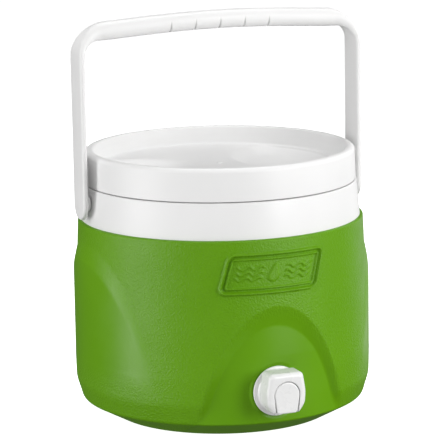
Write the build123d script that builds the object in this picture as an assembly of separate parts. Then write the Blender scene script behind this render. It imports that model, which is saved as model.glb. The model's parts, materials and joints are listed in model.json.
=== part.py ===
from build123d import *
import math
import os

# Large insulated water jug with a screw lid, a swinging bail handle and a push-button tap.
# Millimetres, +Z up, tap towards -Y. The origin is on the jug's axis, on the surface it stands on.

# Outside the jug's walls, where cuts start and end
FAR_R = 200.0
FAR_Y = -150.0

# Outer shell: (radius, height, corner radius) up the outside, from the foot to the collar
FOOT_R = 102.0
BELLY_R = 137.5
SHOULDER_R = 132.4
SHELL_TOP_Z = 184.0
SHELL_WALL = 2.5
RECESS_R = 88.0
RECESS_DRAFT = 3.0
RECESS_FLOOR_Z = 4.0
FILL_HOLE_R = 15.0
FILL_CAP_R = 18.0
FOAM_FILL_Z = 11.0
SHELL_SIDE = [
    (FOOT_R, 0, 2.0),
    (131.6, 16.0, 5.0),
    (137.0, 34.0, 25.0),
    (BELLY_R, 58.0, 60.0),
    (134.6, 130.0, 90.0),
    (SHOULDER_R, SHELL_TOP_Z - 1.0, 2.0),
    (129.9, SHELL_TOP_Z, 0),
]

# Arches on the shell: each outline is half an ellipse that stands on a centre below the floor
ARCH_CENTRE_Z = -20.0
FRONT_ARCH_X = 70.0
FRONT_ARCH_Z = 134.0
FRONT_ARCH_R = 131.0
SIDE_ARCH_S = 100.0
SIDE_ARCH_Z = 160.0
SIDE_ARCH_R = 137.4
SIDE_ARCH_LOW_Z = 40.0
RAISED_FROM_R = 125.0

# Plain raised badge on the front
BADGE_Z = 153.3
BADGE_W = 97.0
BADGE_H = 37.5
BADGE_LEAN = 12.0
BADGE_R = 136.0
BADGE_CORNER_R = 7.0
BADGE_RIB = 3.0
BADGE_GAP = 2.0
BADGE_BEAD = 1.6
DROP_R = 6.0

# Inner liner, the water space
LINER_R = 115.7
LINER_BOTTOM_R = 109.0
LINER_WALL = 2.1
LINER_FLOOR_Z = 22.0
LINER_TOP_Z = 230.0
LINER_CORNER_R = 12.0
LINER_STRAIGHT_Z = 205.0
LAND_Y = -107.0
LAND_R = 20.0
FOAM_GAP = 0.3

# Collar ring and its neck
COLLAR_BOTTOM_R = 129.5
COLLAR_TOP_R = 126.5
COLLAR_TOP_Z = 217.0
COLLAR_SKIRT_Z = 172.0
COLLAR_WALL = 3.0
DECK_T = 3.5
NECK_R = 120.2
NECK_INNER_R = 118.0
NECK_TOP_Z = 228.0
THREAD_RIB = 1.6
THREAD_W = 2.4
THREAD_STARTS = 6
THREAD_ARC = 40.0
THREAD_Z = 219.5
THREAD_LIFT = 3.0
THREAD_STEPS = 4

# Lid
LID_R = 126.0
LID_WALL = 2.4
LID_SEAM_GAP = 0.8
LID_TOP_Z = 247.5
RIM_INNER_R = 116.0
DISH_R = 109.0
DISH_Z = 231.5
POCKET_Z = 222.5
POCKET_R = 77.0
POCKET_OFFSET = 100.6
LID_GRIP_ANGLE = 5.0
PLUG_R = 115.0
PLUG_WALL = 2.0
PLUG_BOTTOM_Z = 214.0
LID_FLANGE_Z = 232.3

# Bail handle, drawn upright
PIVOT_Z = 204.0
STRAP_X = 133.2
STRAP_T = 5.0
STRAP_W = 29.0
BAR_Z = 361.0
BAR_RISE = 4.5
BAR_D = 17.0
BAIL_CORNER_R = 30.0
BAIL_INNER_R = 15.0
STRAP_EDGE_R = 2.0
GROOVE_PITCH = 24.0
GROOVE_W = 1.6
GROOVE_DEPTH = 1.4
PIN_R = 5.0
PIN_CLEARANCE = 0.06
PIN_HEAD_R = 7.4
PIN_SEAT_X = 121.0
PIN_END_X = 135.7
BOSS_R = 9.0
BAIL_BOSS_R = 7.5
BOSS_FACE_X = 118.5
BOSS_INNER_X = 129.0

# Tap on the front, along Y
TAP_Z = 45.4
SHANK_R = 12.0
SHANK_HOLE_R = 12.3
BORE_R = 8.0
FLANGE_R = 22.8
FLANGE_Y = -131.8
STEP_R = 18.5
STEP_Y = -133.6
NECK_STEP_R = 15.5
NECK_STEP_Y = -135.6
SEAT_R = 24.0
SEAT_Y = -130.8
GASKET_R = 19.0
NUT_Y = -105.0
NUT_R = 20.0
NUT_T = 6.0
TANK_END_Y = -96.0
HOUSING_Z = 48.0
HOUSING_W = 37.5
HOUSING_H = 37.0
HOUSING_FRONT_Y = -156.5
HOUSING_BACK_Y = -137.0
HOUSING_WALL = 2.5
HOUSING_CORNER_R = 5.0
BUTTON_W = 24.0
BUTTON_TOP_Z = 58.5
BUTTON_FIT = 0.5
BUTTON_TAPER = 2.6
BUTTON_T = 3.6
BUTTON_WALL = 2.0
BUTTON_SKIN = 2.2
BUTTON_BACK_Y = -147.0
SPOUT_Y = -139.8
SPOUT_R = 6.3
SPOUT_BORE_R = 4.5
CHAMBER_Y = -144.5
SPIDER_Y = -103.0
WEB_T = 1.6
STEM_R = 2.5
STEM_END_Y = -91.0
SEAL_T = 2.5
CLIP_Y = -124.05
CLIP_GROOVE_R = 2.0
SPRING_R = 5.2
SPRING_WIRE = 0.8
SPRING_TURNS = 6


def outline_of(points):
    """A closed outline from (x, y, corner radius) points."""
    corners = [(x, y) for x, y, _ in points]
    radii = [radius for _, _, radius in points]
    return make_face(FilletPolyline(*corners, radius=radii, close=True))


def turned(points):
    """A solid of revolution about Z from (radius, height, corner radius) points."""
    return revolve(Plane.XZ * outline_of(points), Axis.Z)


def ring(r_in, r_out, z_low, z_high):
    """A plain ring about Z."""
    return turned([(r_in, z_low, 0), (r_out, z_low, 0), (r_out, z_high, 0), (r_in, z_high, 0)])


def z_cylinder(radius, z_low, z_high, x=0.0, y=0.0):
    return extrude(Pos(x, y, z_low) * Circle(radius), amount=z_high - z_low)


def y_cylinder(radius, y_from, y_to):
    """A cylinder along +Y at the tap's height."""
    return extrude(facing_in(y_from) * Circle(radius), amount=y_to - y_from)


def y_ring(r_in, r_out, y_from, y_to):
    return y_cylinder(r_out, y_from, y_to) - y_cylinder(r_in, y_from - 1, y_to + 1)


def x_cylinder(radius, x_from, x_to):
    """A cylinder along +X on the handle's pivot line."""
    plane = Plane(origin=(x_from, 0, PIVOT_Z), x_dir=(0, 1, 0), z_dir=(1, 0, 0))
    return extrude(plane * Circle(radius), amount=x_to - x_from)


def half_ellipse(half_width, height):
    """The upper half of an ellipse that stands on the arches' common centre."""
    whole = Pos(0, ARCH_CENTRE_Z) * Ellipse(half_width, height)
    return whole & Pos(0, FAR_R) * Rectangle(2 * FAR_R, 2 * FAR_R)


def front_prism(half_width, height):
    """An arch outline run through the front wall along -Y."""
    return extrude(Plane.XZ * half_ellipse(half_width, height), amount=-FAR_Y)


def shell_body(inset):
    """The shell's outside moved in by inset: the turned form with the front arch sunk into it."""
    side = [(r - inset, z, max(c - inset, 0)) for r, z, c in SHELL_SIDE[1:-1]]
    floor_z = inset
    foot = (FOOT_R - 0.5 * inset, floor_z, 1.0)
    top_z = SHELL_TOP_Z + (2 if inset else 0)
    points = [(0, floor_z, 0), foot, *side, (side[-1][0], top_z, 0), (0, top_z, 0)]
    if not inset:
        points = [(0, 0, 0), *SHELL_SIDE, (0, SHELL_TOP_Z, 0)]
    sunk = front_prism(FRONT_ARCH_X + inset, FRONT_ARCH_Z + inset)
    sunk -= z_cylinder(FRONT_ARCH_R - inset, -5, FAR_R)
    return turned(points) - sunk


def side_pads():
    """The proud arches on the left and right of the shell."""
    half_width = BELLY_R * math.sin(SIDE_ARCH_S / BELLY_R)
    outline = half_ellipse(half_width, SIDE_ARCH_Z)
    prism = extrude(Plane.YZ * outline, amount=FAR_R, both=True)
    return prism & ring(RAISED_FROM_R, SIDE_ARCH_R, SIDE_ARCH_LOW_Z, SHELL_TOP_Z)


def badge_outline(margin):
    """The badge's leaning, round-cornered outline, moved in by margin."""
    half_w = BADGE_W / 2 - margin
    half_h = BADGE_H / 2 - margin
    lean = BADGE_LEAN / 2
    corner = BADGE_CORNER_R - margin / 2
    points = [
        (-half_w - lean, -half_h, corner),
        (half_w - lean, -half_h, corner),
        (half_w + lean, half_h, corner),
        (-half_w + lean, half_h, corner),
    ]
    return Plane.XZ * (Pos(0, BADGE_Z) * outline_of(points))


def badge():
    """Two raised outlines with a plain drop between them."""
    bead = BADGE_RIB + BADGE_GAP
    frame = badge_outline(0) - badge_outline(BADGE_RIB)
    frame += badge_outline(bead) - badge_outline(bead + BADGE_BEAD)
    point = Triangle(a=11, b=11, c=10)
    drop = Pos(0, BADGE_Z - DROP_R / 3) * Circle(DROP_R) + Pos(0, BADGE_Z + 2 * DROP_R / 3) * point
    raised = ring(RAISED_FROM_R, BADGE_R, BADGE_Z - BADGE_H, SHELL_TOP_Z - 3)
    return extrude(frame + Plane.XZ * drop, amount=-FAR_Y) & raised


def outer_shell():
    """The coloured shell, with the arches, the badge, the tap's flat seat and a sunk floor."""
    shell = shell_body(0) + side_pads() + badge()
    shell += y_cylinder(SEAT_R, SEAT_Y, -RAISED_FROM_R)
    shell -= y_cylinder(SEAT_R, FAR_Y, SEAT_Y)
    floor_plate = z_cylinder(RECESS_R + SHELL_WALL, 0, RECESS_FLOOR_Z + SHELL_WALL)
    shell -= shell_body(SHELL_WALL) - floor_plate
    inner_r = RECESS_R - RECESS_DRAFT
    shell -= turned([(0, -1, 0), (RECESS_R, -1, 0), (inner_r, RECESS_FLOOR_Z, 0), (0, RECESS_FLOOR_Z, 0)])
    shell -= z_cylinder(FILL_HOLE_R, -1, RECESS_FLOOR_Z + 2 * SHELL_WALL)
    return shell - y_cylinder(SHANK_HOLE_R, FAR_Y, TANK_END_Y)


def liner_outline(gap):
    """The liner's outside, enlarged by gap."""
    low = LINER_BOTTOM_R + LINER_WALL + gap
    high = LINER_R + LINER_WALL + gap
    floor_z = LINER_FLOOR_Z - LINER_WALL - gap
    top_z = LINER_TOP_Z + 5
    return turned(
        [
            (0, floor_z, 0),
            (low, floor_z, LINER_CORNER_R + LINER_WALL),
            (high, LINER_STRAIGHT_Z, 0),
            (high, top_z, 0),
            (0, top_z, 0),
        ]
    )


def inner_liner():
    """The white bucket that holds the water, with a flat land inside for the tap's gasket."""
    liner = liner_outline(0) - z_cylinder(200, LINER_TOP_Z, LINER_TOP_Z + 10)
    water = turned(
        [
            (0, LINER_FLOOR_Z, 0),
            (LINER_BOTTOM_R, LINER_FLOOR_Z, LINER_CORNER_R),
            (LINER_R, LINER_STRAIGHT_Z, 0),
            (LINER_R, LINER_TOP_Z + 10, 0),
            (0, LINER_TOP_Z + 10, 0),
        ]
    )
    land = y_cylinder(LAND_R, -LINER_R, LAND_Y)
    liner -= water - land
    liner += ring(LINER_R, NECK_R - 0.3, NECK_TOP_Z, LINER_TOP_Z)
    return liner - y_cylinder(SHANK_HOLE_R, FAR_Y, TANK_END_Y)


def foam_insulation():
    """Foam between the shell and the liner, up to the underside of the collar's deck."""
    foam = shell_body(SHELL_WALL + FOAM_GAP) - z_cylinder(FAR_R, COLLAR_SKIRT_Z - 1, FAR_R)
    plate_z = RECESS_FLOOR_Z + SHELL_WALL + FOAM_GAP
    foam -= z_cylinder(RECESS_R + SHELL_WALL, 0, plate_z)
    low_r = COLLAR_BOTTOM_R - COLLAR_WALL - 0.5
    high_r = COLLAR_TOP_R - COLLAR_WALL - FOAM_GAP
    low_z = COLLAR_SKIRT_Z - 7
    deck_z = COLLAR_TOP_Z - DECK_T - 0.7
    upper = [(100, low_z, 0), (low_r, low_z, 0), (low_r, SHELL_TOP_Z, 0), (high_r, deck_z, 0), (100, deck_z, 0)]
    foam += turned(upper)
    foam -= liner_outline(FOAM_GAP)
    foam -= z_cylinder(FILL_CAP_R + 1, 0, FOAM_FILL_Z + 1)
    for side in (-1, 1):
        foam -= x_cylinder(BOSS_R + FOAM_GAP, side * BELLY_R, side * 110)
    return foam - y_cylinder(SHANK_HOLE_R, FAR_Y, TANK_END_Y)


def foam_fill_plug():
    """Closes the hole in the floor that the foam is poured through."""
    cap = z_cylinder(FILL_CAP_R, RECESS_FLOOR_Z - 1.5, RECESS_FLOOR_Z)
    return cap + z_cylinder(FILL_HOLE_R - 0.2, RECESS_FLOOR_Z, FOAM_FILL_Z)


def thread_ribs(r_in, r_out):
    """Short slanting thread ribs round a cylinder, each built of a few stepped blocks."""
    ribs = Part()
    arc = THREAD_ARC / THREAD_STEPS
    wedge = extrude(sector(arc / 2 + 0.5), amount=LID_TOP_Z)
    for step in range(THREAD_STEPS):
        z = THREAD_Z + THREAD_LIFT * step / THREAD_STEPS
        block = ring(r_in, r_out, z, z + THREAD_W) & wedge
        for start in range(THREAD_STARTS):
            ribs += Rot(0, 0, start * 360 / THREAD_STARTS + step * arc) * block
    return ribs


def sector(half_angle):
    """A flat triangle that covers plus and minus half_angle about +X."""
    side = FAR_R * math.tan(math.radians(half_angle))
    return make_face(Polyline((0, 0), (FAR_R, -side), (FAR_R, side), close=True))


def collar_ring():
    """The white ring over the shell's mouth, with the neck that the lid screws on."""
    deck_z = COLLAR_TOP_Z - DECK_T
    profile = [
        (COLLAR_BOTTOM_R - COLLAR_WALL, COLLAR_SKIRT_Z, 0),
        (COLLAR_BOTTOM_R, COLLAR_SKIRT_Z, 0),
        (COLLAR_BOTTOM_R, SHELL_TOP_Z, 0),
        (COLLAR_TOP_R, COLLAR_TOP_Z, 1.0),
        (NECK_R, COLLAR_TOP_Z, 0),
        (NECK_R, NECK_TOP_Z, 0.5),
        (NECK_INNER_R, NECK_TOP_Z, 0),
        (NECK_INNER_R, deck_z, 0),
        (COLLAR_TOP_R - COLLAR_WALL, deck_z, 0),
        (COLLAR_BOTTOM_R - COLLAR_WALL, SHELL_TOP_Z, 0),
    ]
    collar = turned(profile) + thread_ribs(NECK_R - 0.5, NECK_R + THREAD_RIB)
    for side in (-1, 1):
        collar += x_cylinder(BOSS_R, side * BOSS_FACE_X, side * COLLAR_TOP_R)
        collar -= x_cylinder(PIN_HEAD_R + 0.4, side * 110, side * PIN_SEAT_X)
        collar -= x_cylinder(PIN_R + PIN_CLEARANCE, side * 110, side * BELLY_R)
    return collar


def lid_pockets(margin, floor_z):
    """The two finger pockets: where the lid's round floor meets a circle on each side."""
    pockets = Part()
    for side in (-1, 1):
        scoop = z_cylinder(POCKET_R + margin, floor_z, LID_TOP_Z, x=side * POCKET_OFFSET)
        pockets += scoop & z_cylinder(DISH_R - 1 + margin, floor_z, LID_TOP_Z)
    return Rot(0, 0, LID_GRIP_ANGLE) * pockets


def lid_shell():
    """The lid's top: skirt, round rim, sunk dish and two finger pockets with a grip between."""
    outside = [
        (0, LID_TOP_Z, 0),
        (0, COLLAR_TOP_Z + LID_SEAM_GAP, 0),
        (LID_R, COLLAR_TOP_Z + LID_SEAM_GAP, 0.4),
        (LID_R - 0.9, LID_TOP_Z, 4.0),
    ]
    dish = [
        (0, DISH_Z, 0),
        (DISH_R, DISH_Z, 4),
        (113.0, DISH_Z + 6.5, 12),
        (RIM_INNER_R, LID_TOP_Z, 0),
        (RIM_INNER_R, LID_TOP_Z + 5, 0),
        (0, LID_TOP_Z + 5, 0),
    ]
    under_z = DISH_Z - LID_WALL
    inner_r = LID_R - LID_WALL
    hollow = [
        (0, PLUG_BOTTOM_Z, 0),
        (inner_r, PLUG_BOTTOM_Z, 0),
        (inner_r - 0.7, LID_TOP_Z - LID_WALL, 2.0),
        (118.6, LID_TOP_Z - LID_WALL, 2.0),
        (115.4, 236.5, 10),
        (111.2, under_z, 3),
        (0, under_z, 0),
    ]
    lid = turned(outside) - turned(dish) - turned(hollow)
    lid += lid_pockets(LID_WALL, POCKET_Z - LID_WALL) & z_cylinder(DISH_R + 1.0, 0, DISH_Z - 0.5)
    lid -= lid_pockets(0, POCKET_Z)
    lid += z_cylinder(3, DISH_Z - 1, DISH_Z + 0.8)
    return lid + thread_ribs(inner_r - 1.4, inner_r + 0.3)


def lid_underside():
    """The plate and wall that close the lid from below and centre it in the neck."""
    flange_r = LID_R - LID_WALL - 0.6
    inner_r = PLUG_R - PLUG_WALL
    top_z = LID_FLANGE_Z + PLUG_WALL
    floor_z = PLUG_BOTTOM_Z + PLUG_WALL
    profile = [
        (0, PLUG_BOTTOM_Z, 0),
        (PLUG_R, PLUG_BOTTOM_Z, 3),
        (PLUG_R, LID_FLANGE_Z, 0),
        (flange_r, LID_FLANGE_Z, 0),
        (flange_r, top_z, 0),
        (PLUG_R - 0.4, top_z, 0),
        (inner_r, LID_FLANGE_Z - 0.5, 0),
        (inner_r, floor_z, 1),
        (0, floor_z, 0),
    ]
    return turned(profile)


def lid_foam():
    """Foam inside the lid, thinner under the finger pockets."""
    low = PLUG_BOTTOM_Z + PLUG_WALL + FOAM_GAP
    foam = z_cylinder(PLUG_R - 2 * PLUG_WALL - 2 * FOAM_GAP, low, DISH_Z - LID_WALL - FOAM_GAP)
    return foam - lid_pockets(LID_WALL + FOAM_GAP, POCKET_Z - LID_WALL - FOAM_GAP)


def lid_gasket():
    """The rubber ring between the liner's lip and the lid's flange."""
    low = LINER_TOP_Z + 0.05
    high = LID_FLANGE_Z - 0.1
    return turned([(116.2, low, 0.8), (119.4, low, 0.8), (119.4, high, 0.8), (116.2, high, 0.8)])


def bail_band():
    """The bail from the front: two straps and a bar that rises gently to the middle."""
    top_z = BAR_Z + BAR_D / 2
    under_z = BAR_Z - BAR_D / 2
    outside = bail_arch(STRAP_X + STRAP_T, top_z, BAIL_CORNER_R)
    inside = bail_arch(STRAP_X, under_z, BAIL_INNER_R)
    return extrude(Plane.XZ * (outside - inside), amount=STRAP_W, both=True)


def bail_arch(half_width, top_z, corner_r):
    """The flat shape under a line up each side, round its corners and over the gently risen top."""
    foot_z = PIVOT_Z - STRAP_W / 2
    side_z = top_z - corner_r
    top_x = half_width - corner_r
    outline = [
        Line((-half_width, foot_z), (-half_width, side_z)),
        RadiusArc((-half_width, side_z), (-top_x, top_z), corner_r),
        ThreePointArc((-top_x, top_z), (0, top_z + BAR_RISE), (top_x, top_z)),
        RadiusArc((top_x, top_z), (half_width, side_z), corner_r),
        Line((half_width, side_z), (half_width, foot_z)),
        Line((half_width, foot_z), (-half_width, foot_z)),
    ]
    return make_face(outline)


def bail_width():
    """The bail from the side: wide straps with round feet that narrow to the bar at the corners."""
    wide = STRAP_W / 2
    narrow = BAR_D / 2
    low_z = BAR_Z - BAR_D / 2 - BAIL_INNER_R
    high_z = BAR_Z + 4
    top_z = BAR_Z + BAR_D
    outline = [
        RadiusArc((-wide, PIVOT_Z), (wide, PIVOT_Z), -wide),
        Line((wide, PIVOT_Z), (wide, low_z)),
        Spline((wide, low_z), (narrow, high_z), tangents=((0, 1), (0, 1))),
        Line((narrow, high_z), (narrow, top_z)),
        Line((narrow, top_z), (-narrow, top_z)),
        Line((-narrow, top_z), (-narrow, high_z)),
        Spline((-narrow, high_z), (-wide, low_z), tangents=((0, -1), (0, -1))),
        Line((-wide, low_z), (-wide, PIVOT_Z)),
    ]
    return extrude(Plane.YZ * make_face(outline), amount=FAR_R, both=True)


def bail_handle():
    """The white bail, with a boss at each foot and finger grooves under the bar."""
    bail = bail_band() & bail_width()
    bail = fillet(bail.edges(), STRAP_EDGE_R)
    for side in (-1, 1):
        bail += x_cylinder(BAIL_BOSS_R, side * BOSS_INNER_X, side * (STRAP_X + 0.5))
        bail -= x_cylinder(PIN_R, side * BOSS_FACE_X, side * (PIN_END_X + 0.1))
    for place in range(-2, 3):
        bail -= finger_groove(place * GROOVE_PITCH)
    return bail


def finger_groove(x):
    """One narrow groove across the underside of the bar."""
    z = BAR_Z - BAR_D / 2 + BAR_RISE
    return Pos(x, 0, z) * Box(GROOVE_W, BAR_D + 2, 2 * GROOVE_DEPTH)


def handle_pin(side):
    """A headed pin, pushed from inside the collar into the bail's foot."""
    head = x_cylinder(PIN_HEAD_R, side * (BOSS_FACE_X + 0.1), side * (PIN_SEAT_X - 0.3))
    return head + x_cylinder(PIN_R, side * (BOSS_FACE_X + 1), side * PIN_END_X)


def housing():
    """The tap's front housing, hollow from below, with an arched window for the button."""
    depth = HOUSING_BACK_Y - HOUSING_FRONT_Y
    plane = facing_out(HOUSING_BACK_Y, HOUSING_Z)
    block = extrude(plane * RectangleRounded(HOUSING_W, HOUSING_H, HOUSING_CORNER_R), amount=depth)
    block = fillet(block.faces().sort_by(Axis.Y)[0].edges(), HOUSING_WALL)
    inner = Pos(0, -4) * Rectangle(HOUSING_W - 2 * HOUSING_WALL, HOUSING_H + 3)
    return block - extrude(facing_out(HOUSING_BACK_Y - HOUSING_WALL, HOUSING_Z) * inner, amount=5.0)


def facing_out(y, z=0.0):
    """A plane across the tap that faces out, to -Y."""
    return Plane(origin=(0, y, z), x_dir=(1, 0, 0), z_dir=(0, -1, 0))


def facing_in(y):
    """A plane across the tap's axis that faces the tank, to +Y."""
    return Plane(origin=(0, y, TAP_Z), x_dir=(1, 0, 0), z_dir=(0, 1, 0))


def button_outline(margin):
    """An arch with a round top and slightly drawn-in sides, open at the bottom."""
    half = BUTTON_W / 2 + margin
    crown_z = BUTTON_TOP_Z - BUTTON_W / 2
    bottom_z = HOUSING_Z - HOUSING_H / 2 - (3 if margin else -0.6)
    crown = Pos(0, crown_z) * Circle(half)
    foot = half - BUTTON_TAPER
    legs = Polyline((-half, crown_z), (half, crown_z), (foot, bottom_z), (-foot, bottom_z), close=True)
    return crown + make_face(legs)


def button_block(margin, y_back, y_front):
    return extrude(facing_out(y_back) * button_outline(margin), amount=y_back - y_front)


def tap_body():
    """The white tap: threaded shank, stepped flange, valve chamber, spout and housing."""
    tap = y_cylinder(SHANK_R, FLANGE_Y, TANK_END_Y)
    tap += y_cylinder(FLANGE_R, STEP_Y, FLANGE_Y)
    tap += y_cylinder(STEP_R, NECK_STEP_Y, STEP_Y)
    tap += y_cylinder(NECK_STEP_R, HOUSING_BACK_Y, NECK_STEP_Y)
    tap += housing()
    tap += y_cylinder(BORE_R + HOUSING_WALL, BUTTON_BACK_Y, HOUSING_BACK_Y)
    spout_z = HOUSING_Z - HOUSING_H / 2 - 0.6
    tap += z_cylinder(SPOUT_R, spout_z, TAP_Z, y=SPOUT_Y)
    tap -= button_block(BUTTON_FIT, BUTTON_BACK_Y, HOUSING_FRONT_Y - 2)
    tap -= y_cylinder(BORE_R, CHAMBER_Y, TANK_END_Y + 1)
    tap -= z_cylinder(SPOUT_BORE_R, spout_z - 1, TAP_Z, y=SPOUT_Y)
    tap += spider()
    return tap - y_cylinder(STEM_R + 0.3, FAR_Y, STEM_END_Y)


def spider():
    """Three webs and a hub at the tank end of the bore, which guide the stem."""
    web = y_cylinder(STEM_R + WEB_T, SPIDER_Y, TANK_END_Y)
    bar = Pos(BORE_R / 2, 0) * Rectangle(BORE_R + 1, WEB_T)
    for turn in range(3):
        arm = facing_in(SPIDER_Y) * (Rot(0, 0, turn * 120) * bar)
        web += extrude(arm, amount=TANK_END_Y - SPIDER_Y)
    return web


def tap_lock_nut():
    """The hexagonal nut on the shank inside the tank."""
    nut = extrude(facing_in(NUT_Y) * RegularPolygon(NUT_R, 6), amount=NUT_T)
    return nut - y_cylinder(SHANK_R + 0.05, NUT_Y - 1, NUT_Y + NUT_T + 1)


def tap_washer(radius, y_from, y_to):
    """A flat rubber washer round the shank."""
    return y_ring(SHANK_R + 0.2, radius, y_from + 0.05, y_to - 0.05)


def push_button():
    """The arched thumb button, a shallow cup with a socket for the stem."""
    face_y = HOUSING_FRONT_Y - 0.3
    back_y = face_y + BUTTON_T
    button = button_block(0, back_y, face_y)
    cup = offset(button_outline(0), amount=-BUTTON_WALL)
    button -= extrude(facing_out(back_y) * cup, amount=BUTTON_T - BUTTON_SKIN)
    button += y_cylinder(2 * STEM_R, face_y + 1, back_y)
    return button - y_cylinder(STEM_R, face_y + 1.6, back_y + 1)


def valve_stem():
    """The rod from the button to the seal, with a groove for the spring's clip."""
    stem = y_cylinder(STEM_R, HOUSING_FRONT_Y + 1.3, STEM_END_Y)
    return stem - y_ring(CLIP_GROOVE_R, STEM_R + 1, CLIP_Y - 0.95, CLIP_Y + 0.05)


def valve_seal():
    """The rubber disc that closes the shank's tank end."""
    disc_end = TANK_END_Y + SEAL_T
    seal = y_ring(STEM_R, BORE_R + 2.4, TANK_END_Y + 0.05, disc_end)
    return seal + y_ring(STEM_R, 2 * STEM_R, disc_end, STEM_END_Y - 1)


def return_spring():
    """A coil spring round the stem, between the spider and the clip."""
    length = SPIDER_Y - CLIP_Y - 2 * SPRING_WIRE - 0.2
    path = Helix(pitch=length / SPRING_TURNS, height=length, radius=SPRING_R)
    section = Plane(origin=path @ 0, z_dir=path % 0) * Circle(SPRING_WIRE)
    coil = sweep(section, path=path, is_frenet=True)
    return Pos(0, SPIDER_Y - SPRING_WIRE - 0.1, TAP_Z) * (Rot(90, 0, 0) * coil)


def stem_clip():
    """The washer-like clip that the spring pushes on."""
    return y_ring(CLIP_GROOVE_R + 0.05, 6.6, CLIP_Y - 0.9, CLIP_Y)


def stem_o_ring():
    """The ring that seals the stem where it leaves the valve chamber."""
    return y_ring(STEM_R + 0.05, 4.4, CHAMBER_Y + 0.05, CHAMBER_Y + 1.9)


NODES = {
    "outer_shell": outer_shell,
    "foam_insulation": foam_insulation,
    "inner_liner": inner_liner,
    "collar_ring": collar_ring,
    "foam_fill_plug": foam_fill_plug,
    "bail_handle": bail_handle,
    "handle_pin_left": lambda: handle_pin(-1),
    "handle_pin_right": lambda: handle_pin(1),
    "lid_shell": lid_shell,
    "lid_underside": lid_underside,
    "lid_foam": lid_foam,
    "lid_gasket": lid_gasket,
    "tap_body": tap_body,
    "tap_outer_gasket": lambda: tap_washer(GASKET_R, FLANGE_Y, SEAT_Y),
    "tap_inner_gasket": lambda: tap_washer(GASKET_R - 1, LAND_Y, NUT_Y),
    "tap_lock_nut": tap_lock_nut,
    "push_button": push_button,
    "valve_stem": valve_stem,
    "valve_seal": valve_seal,
    "return_spring": return_spring,
    "stem_clip": stem_clip,
    "stem_o_ring": stem_o_ring,
}

os.makedirs("parts", exist_ok=True)
for name, make in NODES.items():
    export_step(make(), f"parts/{name}.step")
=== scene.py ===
import json
import math

import bmesh
import bpy
import numpy as np
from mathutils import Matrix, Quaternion, Vector


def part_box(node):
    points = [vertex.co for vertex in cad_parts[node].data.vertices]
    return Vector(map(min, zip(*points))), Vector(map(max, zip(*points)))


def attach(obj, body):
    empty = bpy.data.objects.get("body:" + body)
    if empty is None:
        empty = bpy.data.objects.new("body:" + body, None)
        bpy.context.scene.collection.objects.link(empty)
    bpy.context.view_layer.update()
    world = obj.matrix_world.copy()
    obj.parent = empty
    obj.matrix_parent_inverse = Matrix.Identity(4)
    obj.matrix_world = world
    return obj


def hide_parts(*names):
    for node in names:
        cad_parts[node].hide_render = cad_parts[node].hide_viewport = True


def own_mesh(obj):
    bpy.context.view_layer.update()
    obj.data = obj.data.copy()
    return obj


# The looks of a large insulated water jug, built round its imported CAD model.
# Sizes are in millimetres, in the row frame: +Z up, the tap towards -Y. MM turns them into metres.
# Outlines are lists of (radius or across, height, corner radius).

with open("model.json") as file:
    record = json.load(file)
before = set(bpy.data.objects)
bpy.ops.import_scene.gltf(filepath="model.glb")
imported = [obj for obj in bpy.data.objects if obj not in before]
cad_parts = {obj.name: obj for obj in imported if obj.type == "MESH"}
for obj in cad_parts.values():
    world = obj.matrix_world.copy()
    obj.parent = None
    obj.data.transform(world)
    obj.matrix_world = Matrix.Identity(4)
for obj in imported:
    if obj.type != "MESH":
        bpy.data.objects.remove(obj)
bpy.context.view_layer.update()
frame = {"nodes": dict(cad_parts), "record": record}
MM = 0.001


def box_mm(node):
    """A CAD node's lowest and highest corner, in millimetres."""
    low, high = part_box(node)
    return Vector(low) / MM, Vector(high) / MM


SHELL_HIGH = box_mm("outer_shell")[1]
COLLAR_LOW, COLLAR_HIGH = box_mm("collar_ring")
LID_LOW, LID_HIGH = box_mm("lid_shell")
BAIL_LOW, BAIL_HIGH = box_mm("bail_handle")
TAP_LOW, TAP_HIGH = box_mm("tap_body")
BUTTON_LOW, BUTTON_HIGH = box_mm("push_button")
PIN_LOW, PIN_HIGH = box_mm("handle_pin_right")
SPRING_LOW, SPRING_HIGH = box_mm("return_spring")

# Outer shell. SHELL_SIDE is its outside from the foot up; GIRTH_R turns an angle into a distance round it.
SHELL_TOP = SHELL_HIGH.z
SHELL_WALL = 2.6
FOOT_R = 102.0
FOOT_INNER_R = 88.0
FLOOR_Z = 4.0
FLOOR_HOLE_R = 15.0
SHELL_SIDE = [
    (FOOT_R, 0, 2.0),
    (131.6, 16.0, 5.0),
    (137.0, 34.0, 25.0),
    (137.5, 58.0, 60.0),
    (134.6, 130.0, 90.0),
    (132.4, SHELL_TOP - 1.0, 1.0),
    (130.4, SHELL_TOP, 0),
]
GIRTH_R = 135.0

# Arches: (half width, height) of the band's outer and inner edge over the arch's centre
FRONT_ARCH = {"outer": (72.6, 143.0), "inner": (67.5, 125.0), "centre": -20.0, "power": 2.0}
FRONT_ARCH_TOP_R = 128.9
FRONT_ARCH_LOW_R = 131.6
FRONT_ARCH_LEAN_Z = 122.0
FRONT_ARCH_LEAN_H = 45.0
FRONT_ARCH_LEAN_POWER = 0.6
SIDE_ARCH = {"outer": (105.0, 169.5), "inner": (97.5, 151.5), "centre": 0.0, "power": 2.1}
SIDE_ARCH_R = 137.4
SIDE_ARCH_LOW_Z = 40.0
SIDE_ARCH_FADE_H = 20.0
ARCH_EDGE = 0.6

# How far the front recess and the side pads lose the leathery grain; 1 and more is all of it
RECESS_SMOOTH = 1.4
PAD_SMOOTH = 0.9

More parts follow.
